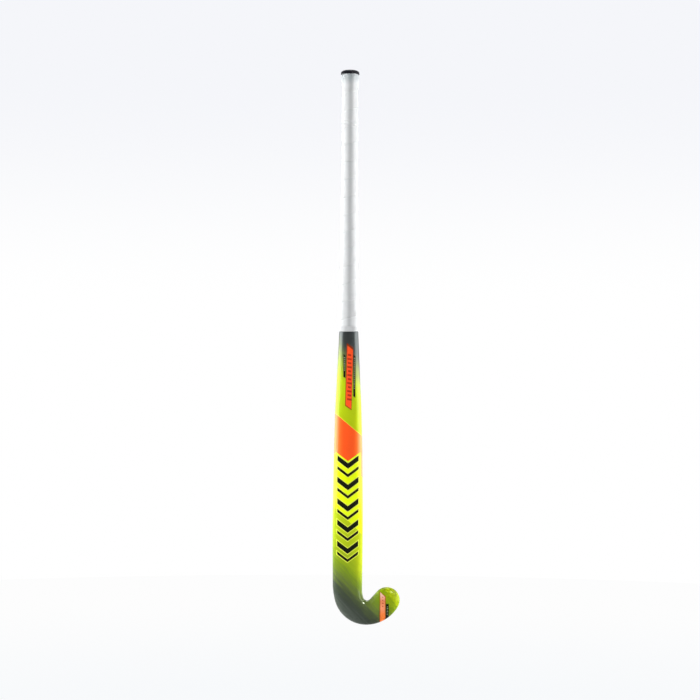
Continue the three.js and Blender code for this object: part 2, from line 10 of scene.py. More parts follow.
import bmesh
import bpy
import numpy as np
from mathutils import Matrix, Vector


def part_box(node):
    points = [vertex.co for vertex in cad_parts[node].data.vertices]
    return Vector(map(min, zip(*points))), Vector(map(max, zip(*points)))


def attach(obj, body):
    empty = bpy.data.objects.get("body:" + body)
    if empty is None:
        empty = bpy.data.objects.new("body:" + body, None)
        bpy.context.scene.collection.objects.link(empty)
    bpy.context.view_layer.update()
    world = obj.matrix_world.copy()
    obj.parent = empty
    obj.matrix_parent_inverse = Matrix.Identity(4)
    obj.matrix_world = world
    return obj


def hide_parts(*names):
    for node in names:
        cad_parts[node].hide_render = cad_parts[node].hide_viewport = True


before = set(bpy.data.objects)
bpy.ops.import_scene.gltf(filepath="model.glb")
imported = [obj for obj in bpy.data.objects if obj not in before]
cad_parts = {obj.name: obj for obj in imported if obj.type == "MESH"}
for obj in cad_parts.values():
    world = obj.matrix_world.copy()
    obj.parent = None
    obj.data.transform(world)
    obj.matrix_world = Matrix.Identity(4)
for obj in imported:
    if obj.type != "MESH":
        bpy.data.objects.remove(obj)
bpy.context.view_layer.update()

# ---- where the frame has the stick --------------------------------------------------------------
MILLIMETRE = 0.001
STICK_LENGTH = 927
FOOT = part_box("butt_cap")[1].z - STICK_LENGTH * MILLIMETRE
FACE_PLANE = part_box("outer_shell")[1].y


def place(points):
    """Points in the stick's millimetres, moved into the frame."""
    return np.asarray(points, float) * MILLIMETRE + (0, FACE_PLANE, FOOT)


def heights_of(node):
    """Lowest and highest height of a CAD node, in the stick's millimetres."""
    low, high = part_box(node)
    return (low.z - FOOT) / MILLIMETRE, (high.z - FOOT) / MILLIMETRE


SHELL_TOP = heights_of("outer_shell")[1]
GRIP_BOTTOM, GRIP_TOP = heights_of("cushion_grip")
BAND_BOTTOM, BAND_TOP = heights_of("finishing_band")
UNDERLAY_BOTTOM = heights_of("grip_underlay")[0]
POMMEL_BOTTOM = heights_of("pommel_ring")[0]

# ---- laminate sections --------------------------------------------------------------------------
# Rows: height, half width, rise of the face over the widest line, width over which the face rounds
# off, rise of the back behind the widest line, width over which the back rounds off, and bow.
SECTION_ROWS = np.array([
    (62, 24.6, 6, 7, 14, 21.1, 0),
    (110, 24.9, 6, 7.5, 14.6, 24.6, 5.6),
    (160, 25.1, 6.4, 8, 15, 25.1, 14.5),
    (250, 24.1, 7, 8.8, 15.4, 24.1, 23.6),
    (350, 22, 8, 10, 15.2, 22, 23.2),
    (410, 19.3, 9.2, 11, 14.8, 19.3, 21.2),
    (490, 15.8, 11, 12.6, 13.6, 15.8, 18.1),
    (560, 13.4, 11.8, 12.8, 12.4, 13.4, 15.2),
    (650, 11.9, 11.8, 11.9, 11.8, 11.9, 11.4),
    (760, 11.3, 11.6, 11.3, 11.4, 11.3, 6.9),
    (927, 11.2, 11.5, 11.2, 11.3, 11.2, 0),
])
ROW_HEIGHTS = SECTION_ROWS[:, 0]
ROW_VALUES = SECTION_ROWS[:, 1:]


def row_slopes():
    """Slopes of the section values at the rows, so that a curve through them never overshoots."""
    rise = np.diff(ROW_VALUES, axis=0) / np.diff(ROW_HEIGHTS)[:, None]
    before, after = rise[:-1], rise[1:]
    same_way = before * after > 0
    slopes = np.zeros_like(ROW_VALUES)
    slopes[1:-1] = np.where(same_way, 2 * before * after / np.where(same_way, before + after, 1), 0)
    slopes[-1] = rise[-1]
    return slopes


ROW_SLOPES = row_slopes()


def section(z):
    """The laminate's section values at heights z, on a smooth curve through the rows."""
    z = np.clip(np.asarray(z, float), ROW_HEIGHTS[0], ROW_HEIGHTS[-1])
    row = np.clip(np.searchsorted(ROW_HEIGHTS, z) - 1, 0, len(ROW_HEIGHTS) - 2)
    span = (ROW_HEIGHTS[row + 1] - ROW_HEIGHTS[row])[..., None]
    t = (z - ROW_HEIGHTS[row])[..., None] / span
    values = (
        ROW_VALUES[row] * (1 + 2 * t) * (1 - t) ** 2
        + ROW_VALUES[row + 1] * t * t * (3 - 2 * t)
        + span * t * (1 - t) * ((1 - t) * ROW_SLOPES[row] - t * ROW_SLOPES[row + 1])
    )
    keys = ("half_width", "face_rise", "face_edge", "back_rise", "back_edge", "bow")
    return SimpleNamespace(**dict(zip(keys, np.moveaxis(values, -1, 0))))


def middle_line(z):
    """y of the widest line of the section at height z."""
    s = section(z)
    return -(s.face_rise + s.bow)


# ---- the hook's outline: a chain of tangent arcs ------------------------------------------------
def circle(x, z, radius):
    return SimpleNamespace(x=x, z=z, radius=radius)


HEEL_TOP = 71
HEEL_RADIUS = 125
BASE_RADIUS = 54.1
INNER_ARC_RADIUS = 50
toe = circle(65.8, 41.3, 21.7)
crook = circle(33, 47.4, 6.7)

shaft_half_width = float(section(HEEL_TOP).half_width)
heel = circle(HEEL_RADIUS - shaft_half_width, HEEL_TOP, HEEL_RADIUS)
base_x = heel.x - math.sqrt((HEEL_RADIUS - BASE_RADIUS) ** 2 - (BASE_RADIUS - heel.z) ** 2)
base = circle(base_x, BASE_RADIUS, BASE_RADIUS)
sole_radius = ((toe.x - base_x) ** 2 + toe.z**2 - toe.radius**2) / (2 * (toe.z - toe.radius))
sole = circle(base_x, sole_radius, sole_radius)

# A straight joins the crook to the toe, tangent to both.
crook_to_toe = math.atan2(toe.z - crook.z, toe.x - crook.x)
centre_gap = math.hypot(toe.x - crook.x, toe.z - crook.z)
straight_angle = crook_to_toe - math.acos((crook.radius + toe.radius) / centre_gap)
straight_normal = (math.cos(straight_angle), math.sin(straight_angle))
toe_direction = (-straight_normal[1], straight_normal[0])

inner_x = shaft_half_width + INNER_ARC_RADIUS
inner_z = crook.z + math.sqrt((INNER_ARC_RADIUS - crook.radius) ** 2 - (inner_x - crook.x) ** 2)
inner_arc = circle(inner_x, inner_z, INNER_ARC_RADIUS)
inner_arc_end = math.pi + math.atan2(inner_arc.z - crook.z, inner_arc.x - crook.x)


def distance_to(round_line, x, z):
    return np.hypot(x - round_line.x, z - round_line.z)


def turn(ax, az, bx, bz):
    """Positive where (bx, bz) lies anticlockwise of (ax, az)."""
    return ax * bz - az * bx


def edge_distance(x, z):
    """Distance of a point of the silhouette from its nearest edge, negative outside."""
    half_width = section(z).half_width
    on_heel = turn(base.x - heel.x, base.z - heel.z, x - base.x, z - base.z) < 0
    below = np.where(on_heel, heel.radius - distance_to(heel, x, z), base.radius - distance_to(base, x, z))
    outer = np.where(z >= heel.z, x + half_width, below)
    outer = np.where(x >= base.x, sole.radius - distance_to(sole, x, z), outer)

    beyond_crook = (x - crook.x) * toe_direction[0] + (z - crook.z) * toe_direction[1] > 0
    along_normal = (x - crook.x) * straight_normal[0] + (z - crook.z) * straight_normal[1]
    inner = np.where(beyond_crook, along_normal, distance_to(crook, x, z)) - crook.radius
    chord = (crook.x - inner_arc.x, crook.z - inner_arc.z)
    on_inner_arc = turn(*chord, x - inner_arc.x, z - inner_arc.z) < 0
    before_crook = x < crook.x
    inner = np.where(before_crook & on_inner_arc, distance_to(inner_arc, x, z) - inner_arc.radius, inner)
    inner = np.where(before_crook & (z >= inner_arc.z), half_width - x, inner)

    past_sole = turn(toe.x - sole.x, toe.z - sole.z, x - toe.x, z - toe.z) > 0
    before_straight = turn(x - toe.x, z - toe.z, -straight_normal[0], -straight_normal[1]) > 0
    in_toe = (x >= base.x) & past_sole & before_straight
    return np.where(in_toe, toe.radius - distance_to(toe, x, z), np.minimum(outer, inner))


def edge_rise(distance, width):
    """Height of an elliptical edge: 0 at the widest line, 1 past the edge's width."""
    t = np.clip(distance / width, 0, 1)
    return np.sqrt(1 - (1 - t) ** 2)


BACK, FACE = -1, 1


def surface(x, z, side, lift=0.0):
    """Points on the back or the face, lift above the laminate's surface or, if negative, below it."""
    x, z, side, lift = np.broadcast_arrays(x, z, side, lift)
    s = section(z)
    rise = np.where(side > 0, s.face_rise, s.back_rise) + lift
    edge = np.where(side > 0, s.face_edge, s.back_edge) + lift
    depth = rise * edge_rise(edge_distance(x, z) + lift, edge)
    return np.stack([x, -(s.face_rise + s.bow) + side * depth, z], axis=-1)


# ---- rings of points round the laminate ---------------------------------------------------------
SPINE_OFFSET = 21
CROOK_REACH = SPINE_OFFSET + crook.radius
HEEL_REACH = 45
BISECTIONS = 40


def ring_angles(count):
    return np.linspace(0, 2 * math.pi, count, endpoint=False)


def side_at(turns):
    """The face for the first half turn of a ring, the back for the second."""
    return np.where(np.sin(turns) >= 0, FACE, BACK)


def reach(x, z, dx, dz, most, lift):
    """How far a line runs from (x, z) along (dx, dz) to the lifted edge."""
    near, far = np.zeros_like(x), np.full_like(x, most)
    for _ in range(BISECTIONS):
        half = (near + far) / 2
        inside = edge_distance(x + dx * half, z + dz * half) + lift > 0
        near, far = np.where(inside, half, near), np.where(inside, far, half)
    return near


def rings_on_lines(x, z, angle, lift, around):
    """Rings over straight lines across the silhouette, each from its crook end to its heel end."""
    dx, dz = np.cos(angle), np.sin(angle)
    start = -reach(x, z, -dx, -dz, CROOK_REACH, lift)
    end = reach(x, z, dx, dz, HEEL_REACH, lift)
    turns = ring_angles(around)
    offset = start[:, None] + (end - start)[:, None] * (1 - np.cos(turns)) / 2
    ring_x, ring_z = x[:, None] + dx[:, None] * offset, z[:, None] + dz[:, None] * offset
    return surface(ring_x, ring_z, side_at(turns), lift)


def head_lines(lift, steps):
    """Lines across the hook, from the toe's tip round the crook to the shaft: x, z and angle."""
    along = (toe.radius + lift) * np.cos(np.linspace(0, math.pi / 2, steps.toe, endpoint=False))
    lines = [(toe.x + toe_direction[0] * along, toe.z + toe_direction[1] * along, straight_angle)]
    limb = (crook.x + CROOK_REACH * straight_normal[0], crook.z + CROOK_REACH * straight_normal[1])
    t = np.linspace(0, 1, steps.limb, endpoint=False)
    lines.append((toe.x + (limb[0] - toe.x) * t, toe.z + (limb[1] - toe.z) * t, straight_angle))
    fan = np.linspace(straight_angle + 2 * math.pi, inner_arc_end, steps.crook, endpoint=False)
    lines.append((crook.x + CROOK_REACH * np.cos(fan), crook.z + CROOK_REACH * np.sin(fan), fan))
    bend = np.linspace(inner_arc_end, math.pi, steps.inner_arc)
    spine = inner_arc.radius + SPINE_OFFSET
    lines.append((inner_arc.x + spine * np.cos(bend), inner_arc.z + spine * np.sin(bend), bend))
    return [np.concatenate(column) for column in zip(*(np.broadcast_arrays(*line) for line in lines))]


def round_shaft(turns, z, lift):
    """Points round the shaft at the angles turns and heights z, lift above the laminate."""
    s = section(z)
    half_width = s.half_width + lift
    x = np.cos(turns) * half_width
    side = side_at(turns)
    rise = np.where(side > 0, s.face_rise, s.back_rise) + lift
    edge = np.where(side > 0, s.face_edge, s.back_edge) + lift
    depth = rise * edge_rise(half_width - np.abs(x), edge)
    y = -(s.face_rise + s.bow) + side * depth
    return np.stack([x, y, np.broadcast_to(z, x.shape)], axis=-1)


def shaft_rings(heights, lift, around):
    """Level rings round the shaft. lift is one number, or one for each height and each point."""
    return round_shaft(ring_angles(around)[None, :], np.asarray(heights, float)[:, None], lift)


# ---- meshes -------------------------------------------------------------------------------------
WELD = 1e-6
SHARP_ANGLE = math.radians(42)


def add_piece(name, points, faces, material, replaced=()):
    """A closed smooth piece from points in the stick's millimetres, riding on the one body."""
    mesh = bpy.data.meshes.new(name)
    mesh.from_pydata(place(points).tolist(), [], faces)
    work = bmesh.new()
    work.from_mesh(mesh)
    bmesh.ops.remove_doubles(work, verts=work.verts, dist=WELD)
    bmesh.ops.recalc_face_normals(work, faces=work.faces)
    work.to_mesh(mesh)
    work.free()
    mesh.materials.append(material)
    mesh.shade_smooth()
    mesh.set_sharp_from_angle(angle=SHARP_ANGLE)
    piece = bpy.data.objects.new(name, mesh)
    bpy.context.scene.collection.objects.link(piece)
    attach(piece, "root")
    if replaced:
        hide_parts(*replaced)


def grid_faces(rows, columns, closed):
    """Four-sided faces between rings of points, and from the last ring to the first if closed."""
    faces = []
    for row in range(rows if closed else rows - 1):
        for column in range(columns):
            next_row, next_column = (row + 1) % rows, (column + 1) % columns
            faces.append((
                row * columns + column, row * columns + next_column,
                next_row * columns + next_column, next_row * columns + column,
            ))
    return faces


def skin(name, rings, material, closed=False, replaced=()):
    """A piece whose surface runs through rings of points, back to the first ring if closed."""
    faces = grid_faces(*rings.shape[:2], closed)
    add_piece(name, rings.reshape(-1, 3), faces, material, replaced)


def turned(name, profile, material, replaced, around):
    """A piece turned about the handle's centre line from (radius, height) pairs."""
    turns = ring_angles(around)
    rings = []
    for radius, height in profile:
        x, y = radius * np.cos(turns), middle_line(height) + radius * np.sin(turns)
        rings.append(np.stack([x, y, np.full(around, float(height))], axis=-1))
    skin(name, np.array(rings), material, replaced=replaced)


PRINT_CELL = 1.5
MARK_CELL = 0.8
PRINT_SINK = 0.12
CUT_TOLERANCE = 1e-5
TOP_LIFT, MARK_LIFT, UNDER_LIFT = 0.06, 0.1, 0.03
STRIPE_GUESS, STRIPE_ROUNDS = 300.0, 6


def gridded(outlines, cell):
    """Flat outlines in (x, z), cut into cells: points, faces and the edges along the rim."""
    work = bmesh.new()
    for outline in outlines:
        work.faces.new([work.verts.new((x, 0, z)) for x, z in outline])
    bmesh.ops.triangulate(work, faces=work.faces)
    every = np.concatenate([np.asarray(outline, float) for outline in outlines])
    low, high = every.min(0), every.max(0)
    for axis, normal in ((0, (1, 0, 0)), (1, (0, 0, 1))):
        for value in np.arange(low[axis] + cell, high[axis], cell):
            point = (value, 0, 0) if axis == 0 else (0, 0, value)
            geometry = work.verts[:] + work.edges[:] + work.faces[:]
            bmesh.ops.bisect_plane(
                work, geom=geometry, dist=CUT_TOLERANCE, plane_co=point, plane_no=normal)
    work.verts.index_update()
    points = np.array([vert.co for vert in work.verts])[:, (0, 2)]
    faces = [[vert.index for vert in face.verts] for face in work.faces]
    rims = [
        [loop.vert.index, loop.link_loop_next.vert.index]
        for face in work.faces for loop in face.loops if loop.edge.is_boundary
    ]
    work.free()
    return points, faces, rims


def printed(name, outlines, lift, material, replaced=(), cell=PRINT_CELL):
    """A thin printed film in the back's lacquer, from flat outlines in (x, z) seen square on."""
    points, faces, rims = gridded(outlines, cell)
    x, z = points.T
    top = surface(x, z, BACK, lift)
    bottom = surface(x, z, BACK, -PRINT_SINK)
    count = len(points)
    sheets = faces + [[index + count for index in reversed(face)] for face in faces]
    walls = [[b, a, a + count, b + count] for a, b in rims]
    add_piece(name, np.concatenate([top, bottom]), sheets + walls, material, replaced)


def wrapped_stripe(name, bottom, top, material, around, rows, replaced=()):
    """A film all the way round the shaft between two heights that depend on x and on the side."""
    turns = ring_angles(around)

    def edge_heights(line):
        """Heights of a line on the shaft, whose width there depends on the height in turn."""
        z = np.full(around, STRIPE_GUESS)
        for _ in range(STRIPE_ROUNDS):
            z = line(np.cos(turns) * section(z).half_width, side_at(turns))
        return z

    low, high = edge_heights(bottom), edge_heights(top)
    z = low + (high - low) * np.linspace(0, 1, rows)[:, None]
    rings = [round_shaft(turns, z, TOP_LIFT), round_shaft(turns, z[::-1], -PRINT_SINK)]
    skin(name, np.concatenate(rings), material, closed=True, replaced=replaced)


# ---- materials ----------------------------------------------------------------------------------
# The mix node's sockets for colours.
MIX_FIRST, MIX_SECOND, MIX_RESULT = 6, 7, 2


def srgb(text):
    """A colour written as six hexadecimal digits, as linear red, green, blue and alpha."""
    channels = [int(text[i:i + 2], 16) / 255 for i in (0, 2, 4)]
    linear = [c / 12.92 if c <= 0.04045 else ((c + 0.055) / 1.055) ** 2.4 for c in channels]
    return (*linear, 1)


class Paint:
    """A material and short calls that add nodes to it. Its coordinates are millimetres."""

    def __init__(self, name):
        self.material = bpy.data.materials.new(name)
        self.material.use_nodes = True
        self.nodes = self.material.node_tree.nodes
        self.links = self.material.node_tree.links
        self.shader = self.nodes["Principled BSDF"]
        place_now = self.nodes.new("ShaderNodeTexCoord").outputs["Object"]
        self.at = self.scaled(place_now, 1 / MILLIMETRE)
        split = self.nodes.new("ShaderNodeSeparateXYZ")
        self.links.new(self.at, split.inputs[0])
        self.x, self.y = split.outputs["X"], split.outputs["Y"]
        self.z = self.math("SUBTRACT", split.outputs["Z"], FOOT / MILLIMETRE)

    def put(self, socket, value):
        if isinstance(value, bpy.types.NodeSocket):
            self.links.new(value, socket)
        else:
            socket.default_value = value

    def set(self, **values):
        """Sets the shader's own sockets: underscores stand for spaces."""
        for key, value in values.items():
            self.put(self.shader.inputs[key.replace("_", " ")], value)

    def math(self, operation, *values):
        node = self.nodes.new("ShaderNodeMath")
        node.operation = operation
        for socket, value in zip(node.inputs, values):
            self.put(socket, value)
        return node.outputs[0]

    def scaled(self, vector, scale):
        node = self.nodes.new("ShaderNodeVectorMath")
        node.operation = "SCALE"
        self.put(node.inputs[0], vector)
        self.put(node.inputs["Scale"], scale)
        return node.outputs[0]

    def vector_length(self, value):
        node = self.nodes.new("ShaderNodeVectorMath")
        node.operation = "LENGTH"
        self.links.new(value, node.inputs[0])
        return node.outputs["Value"]

    def join(self, x, y, z):
        node = self.nodes.new("ShaderNodeCombineXYZ")
        for socket, value in zip(node.inputs, (x, y, z)):
            self.put(socket, value)
        return node.outputs[0]

    def line(self, slope):
        """Height above a line through the foot that falls by slope for each millimetre of x."""
        return self.math("MULTIPLY_ADD", self.x, slope, self.z)

    def step(self, value, low, high):
        """0 below low and 1 above high, with a smooth rise between them."""
        node = self.nodes.new("ShaderNodeMapRange")
        node.interpolation_type = "SMOOTHSTEP"
        for socket, number in zip(node.inputs, (value, low, high)):
            self.put(socket, number)
        return node.outputs[0]

    def mix(self, share, first, second):
        node = self.nodes.new("ShaderNodeMix")
        node.data_type = "RGBA"
        self.put(node.inputs["Factor"], share)
        self.put(node.inputs[MIX_FIRST], first)
        self.put(node.inputs[MIX_SECOND], second)
        return node.outputs[MIX_RESULT]

    def noise(self, at, scale, detail=2.0, roughness=0.5):
        node = self.nodes.new("ShaderNodeTexNoise")
        self.put(node.inputs["Vector"], at)
        self.put(node.inputs["Scale"], scale)
        self.put(node.inputs["Detail"], detail)
        self.put(node.inputs["Roughness"], roughness)
        return node.outputs[0]

    def cells(self, at, scale, output="Distance"):
        node = self.nodes.new("ShaderNodeTexVoronoi")
        self.put(node.inputs["Vector"], at)
        self.put(node.inputs["Scale"], scale)
        return node.outputs[output]

    def ramp(self, value, stops):
        """A colour ramp over (value, colour) stops."""
        low, high = stops[0][0], stops[-1][0]
        node = self.nodes.new("ShaderNodeValToRGB")
        share = self.nodes.new("ShaderNodeMapRange")
        for socket, number in zip(share.inputs, (value, low, high)):
            self.put(socket, number)
        self.links.new(share.outputs[0], node.inputs[0])
        elements = node.color_ramp.elements
        while len(elements) < len(stops):
            elements.new(0.5)
        for element, (stop, colour) in zip(elements, stops):
            element.position = (stop - low) / (high - low)
            element.color = colour
        return node.outputs[0]

    def shade(self, colour, amount, value):
        """The colour made lighter or darker by up to amount, as value runs from 0 to 1."""
        gain = self.math("MULTIPLY_ADD", value, 2 * amount, 1 - amount)
        plain = colour if isinstance(colour, bpy.types.NodeSocket) else colour[:3]
        return self.scaled(plain, gain)

    def bump(self, height, depth, strength=1.0):
        """Bumps of a depth in millimetres, on top of those made before."""
        node = self.nodes.new("ShaderNodeBump")
        self.put(node.inputs["Height"], height)
        node.inputs["Strength"].default_value = strength
        node.inputs["Distance"].default_value = depth * MILLIMETRE
        socket = self.shader.inputs["Normal"]
        if socket.is_linked:
            self.links.new(socket.links[0].from_socket, node.inputs["Normal"])
        self.links.new(node.outputs[0], socket)


LACQUER_COAT = 0.8
TOE_END_COAT_LOSS = 0.62


def lacquer(paint, coat=LACQUER_COAT):
    """Clear lacquer over a print: its slow waves and fine dust."""
    paint.bump(paint.noise(paint.at, 0.055, 2), 0.35, 0.4)
    paint.bump(paint.noise(paint.at, 1.6, 3), 0.006, 0.5)
    paint.set(Coat_Weight=coat, Coat_Roughness=0.12, Coat_IOR=1.5, Specular_IOR_Level=0.1)


LIME = srgb("b6cb10")
YELLOW = srgb("ecff00")
CHARCOAL = srgb("5a6060")
# Colours up the head, by height above a slanted line through the foot. The lowest stops are paler: painted
# light and reflection from the floor below.
HEAD_COLOURS = [
    (16, srgb("5c635b")), (28, srgb("525a50")), (38, srgb("464e44")), (46, srgb("485141")),
    (54, srgb("525e3e")), (60, srgb("5d6b3e")), (66, srgb("66783a")), (72, srgb("6e8136")),
    (80, srgb("758c2c")), (88, srgb("7c9622")), (96, srgb("88a318")), (106, srgb("9ab316")),
    (120, srgb("a3ba14")), (134, LIME),
]
HEAD_SLOPE = 0.92
STREAK_SLOPE = 1.1
STREAK_ACROSS, STREAK_ALONG = 0.16, 0.011
WIDE_PUSH, FINE_PUSH = 38.0, 26.0
FACET_SLOPE, FACET_EDGE = 0.98, (175.6, 176.4)
YELLOW_END_SLOPE, YELLOW_END = 0.8, (285.0, 315.0)
CHARCOAL_SLOPE, CHARCOAL_FADE, CHARCOAL_DRIFT = 1.15, (404.0, 484.0), 26.0
TOE_CORNER_SLOPE, TOE_CORNER_EDGE, TOE_CORNER_X = 1.44, (150.0, 151.5), (50.0, 52.0)
WARM_X, WARM_Z = (6.0, 24.0), (64.0, 96.0)
TOE_END_X = (46.0, 62.0)


def laminate_paint():
    """Lime laminate: a slate head with brushed streaks, a yellow middle and a charcoal top."""
    paint = Paint("lacquered_laminate")
    streak = paint.line(STREAK_SLOPE)
    along = paint.math("MULTIPLY_ADD", paint.z, -STREAK_SLOPE, paint.x)
    brushed = paint.join(
        paint.math("MULTIPLY", streak, STREAK_ACROSS), paint.math("MULTIPLY", along, STREAK_ALONG), 0.0)
    wide_brush = paint.noise(brushed, 1.0, 3, 0.6)
    fine_brush = paint.noise(brushed, 4.5, 3, 0.6)
    pushed = paint.line(HEAD_SLOPE)
    for brush, push in ((wide_brush, WIDE_PUSH), (fine_brush, FINE_PUSH)):
        pushed = paint.math("MULTIPLY_ADD", paint.math("SUBTRACT", brush, 0.5), push, pushed)
    head = paint.ramp(pushed, HEAD_COLOURS)

    # A paler corner on the toe, a warmer side under the crook, and darker colour under thinner lacquer
    # towards the toe's end.
    toe_corner = paint.step(paint.line(TOE_CORNER_SLOPE), *TOE_CORNER_EDGE)
    toe_corner = paint.math("MULTIPLY", toe_corner, paint.step(paint.x, *TOE_CORNER_X))
    head = paint.mix(paint.math("MULTIPLY", toe_corner, 0.6), head, srgb("c6d80c"))
    warm = paint.math("MULTIPLY", paint.step(paint.x, *WARM_X), paint.step(paint.z, *WARM_Z))
    head = paint.mix(paint.math("MULTIPLY", warm, 0.3), head, srgb("d8d80a"))
    toe_end = paint.step(paint.x, *TOE_END_X)
    head = paint.mix(paint.math("MULTIPLY", toe_end, 0.2), head, srgb("000000"))

    # Yellow from a sharp slanted edge up to the stripe, then lime that fades to charcoal.
    facet = paint.step(paint.line(FACET_SLOPE), *FACET_EDGE)
    past_yellow = paint.step(paint.line(YELLOW_END_SLOPE), *YELLOW_END)
    yellow = paint.math("MULTIPLY", facet, paint.math("SUBTRACT", 1.0, past_yellow))
    colour = paint.mix(yellow, head, YELLOW)
    drift = paint.noise(paint.at, 0.03, 2)
    fade_line = paint.math("MULTIPLY_ADD", drift, CHARCOAL_DRIFT, paint.line(CHARCOAL_SLOPE))
    charcoal = paint.step(fade_line, *CHARCOAL_FADE)
    colour = paint.mix(charcoal, colour, CHARCOAL)
    flake = paint.cells(paint.at, 5.0, "Color")
    colour = paint.shade(colour, 0.03, flake)
    colour = paint.shade(colour, 0.05, fine_brush)

    # The dark ends have a metallic sheen.
    slate = paint.math("SUBTRACT", 1.0, paint.step(pushed, 48.0, 90.0))
    metal = paint.math("MULTIPLY_ADD", charcoal, 0.7, 0.04)
    metal = paint.math("MULTIPLY_ADD", slate, 0.16, metal)
    rough = paint.math("MULTIPLY_ADD", paint.noise(paint.at, 0.2, 3), 0.12, 0.24)
    paint.set(Base_Color=colour, Metallic=metal, Roughness=rough)
    lacquer(paint, paint.math("MULTIPLY_ADD", toe_end, -TOE_END_COAT_LOSS, LACQUER_COAT))
    return paint.material


def print_paint(name, colour, worn=0.05):
    """A printed ink under lacquer, with faint mottling."""
    paint = Paint(name)
    mottle = paint.noise(paint.at, 0.7, 4, 0.6)
    paint.set(Base_Color=paint.shade(colour, worn, mottle))
    paint.set(Roughness=paint.math("MULTIPLY_ADD", mottle, 0.1, 0.3))
    lacquer(paint)
    return paint.material


def orange_paint():
    """Orange ink, with painted highlights that pale it towards yellow where the stick's sides round off.
    """
    paint = Paint("print_orange")
    mottle = paint.noise(paint.at, 0.5, 3)
    out = paint.math("ABSOLUTE", paint.x)
    # Painted highlights: paler, yellower ink where the sides round off.
    colour = paint.mix(paint.step(out, 7.0, 19.0), srgb("ff5a20"), srgb("ff7c30"))
    colour = paint.mix(paint.step(out, 15.0, 23.0), colour, srgb("ffa85c"))
    paint.set(Base_Color=paint.shade(colour, 0.04, mottle), Roughness=0.3)
    lacquer(paint)
    return paint.material


def toe_bar_paint():
    """Orange ink that pales towards the top of the toe's bar."""
    paint = Paint("print_toe_orange")
    mottle = paint.noise(paint.at, 0.5, 3)
    colour = paint.ramp(paint.z, [
        (10, srgb("f57c2c")), (20, srgb("f68240")), (29, srgb("f99a6c")), (41, srgb("e08458")),
        (47, srgb("f0b094")), (53, srgb("f3cdb8")),
    ])
    paint.set(Base_Color=paint.shade(colour, 0.05, mottle), Roughness=0.3)
    lacquer(paint)
    return paint.material


SHADED_MIDDLE, SHADED_REACH = 0.6, 5.6
CAP_SHADE_HEIGHTS = (900.0, 914.0)


def tape_paint():
    """White cushioned polyurethane: fine pores, a soft grain, and painted shade down the back's middle and
    under the cap.
    """
    paint = Paint("grip_tape")
    grain = paint.noise(paint.at, 2.4, 4, 0.6)
    pores = paint.cells(paint.at, 1.1)
    mottle = paint.noise(paint.at, 0.12, 3)
    colour = paint.mix(mottle, srgb("cccecf"), srgb("d4d6d6"))
    # Painted shade: greyer down the middle of the back, which faces away from the side lights.
    off_middle = paint.math("ABSOLUTE", paint.math("SUBTRACT", paint.x, SHADED_MIDDLE))
    shaded_back = paint.math("SUBTRACT", 1.0, paint.step(off_middle, 0.0, SHADED_REACH))
    shaded_back = paint.math("MULTIPLY", shaded_back, paint.step(paint.y, 8.0, 0.0))
    colour = paint.mix(shaded_back, colour, srgb("b7b9ba"))
    # Painted shade under the cap, where the flared tape faces down; darkest down the back's middle.
    cap_shade = paint.step(paint.z, *CAP_SHADE_HEIGHTS)
    colour = paint.mix(paint.math("MULTIPLY", cap_shade, 0.55), colour, srgb("9ca5a9"))
    darkest_shade = paint.math("MULTIPLY", paint.math("MULTIPLY", cap_shade, shaded_back), 0.4)
    colour = paint.mix(darkest_shade, colour, srgb("7a858a"))
    paint.set(Base_Color=paint.shade(colour, 0.03, grain), Specular_IOR_Level=0.5)
    paint.set(Roughness=paint.math("MULTIPLY_ADD", grain, 0.15, 0.4))
    paint.set(Sheen_Weight=0.2, Sheen_Roughness=0.4)
    paint.bump(pores, 0.06, 0.5)
    paint.bump(grain, 0.05, 0.5)
    return paint.material


def rubber_paint():
    paint = Paint("cap_rubber")
    grain = paint.noise(paint.at, 3.0, 4, 0.6)
    paint.set(Base_Color=paint.shade(srgb("15151b"), 0.15, grain))
    paint.set(Roughness=paint.math("MULTIPLY_ADD", grain, 0.25, 0.5), Specular_IOR_Level=0.22)
    paint.bump(grain, 0.05, 0.6)
    return paint.material


def plain_paint(name, colour, grain_scale, depth, roughness, worn=0.08):
    """A material with one colour, a grain of its own scale and matching bumps."""
    paint = Paint(name)
    grain = paint.noise(paint.at, grain_scale, 4, 0.6)
    paint.set(Base_Color=paint.shade(colour, worn, grain))
    paint.set(Roughness=paint.math("MULTIPLY_ADD", grain, 0.15, roughness - 0.07))
    paint.bump(grain, depth, 0.6)
    return paint.material


def foam_paint(name, colour, cell_scale):
    """Open-celled foam: small round pits."""
    paint = Paint(name)
    pits = paint.cells(paint.at, cell_scale)
    paint.set(Base_Color=paint.shade(colour, 0.12, pits), Roughness=0.92)
    paint.bump(pits, 0.3, 0.8)
    return paint.material


def weave_paint(name, colour, thread):
    """Bare fibre laminate: crossed tows of a thread width in millimetres."""
    paint = Paint(name)
    turn_rate = math.pi / thread
    warp = paint.math("SINE", paint.math("MULTIPLY", paint.line(1.0), turn_rate))
    weft = paint.math("SINE", paint.math("MULTIPLY", paint.line(-1.0), turn_rate))
    over = paint.math("MULTIPLY_ADD", paint.math("MULTIPLY", warp, weft), 0.5, 0.5)
    paint.set(Base_Color=paint.shade(colour, 0.35, over), Metallic=0.2)
    paint.set(Roughness=paint.math("MULTIPLY_ADD", over, 0.2, 0.28))
    paint.bump(over, 0.08, 0.6)
    return paint.material


# ---- the moulded shell --------------------------------------------------------------------------
SHELL_AROUND = 72
SHELL_WALL = 2.4
FINE = SimpleNamespace(toe=26, limb=14, crook=34, inner_arc=14, shaft=4.0)
COARSE = SimpleNamespace(toe=8, limb=4, crook=12, inner_arc=4, shaft=16.0)


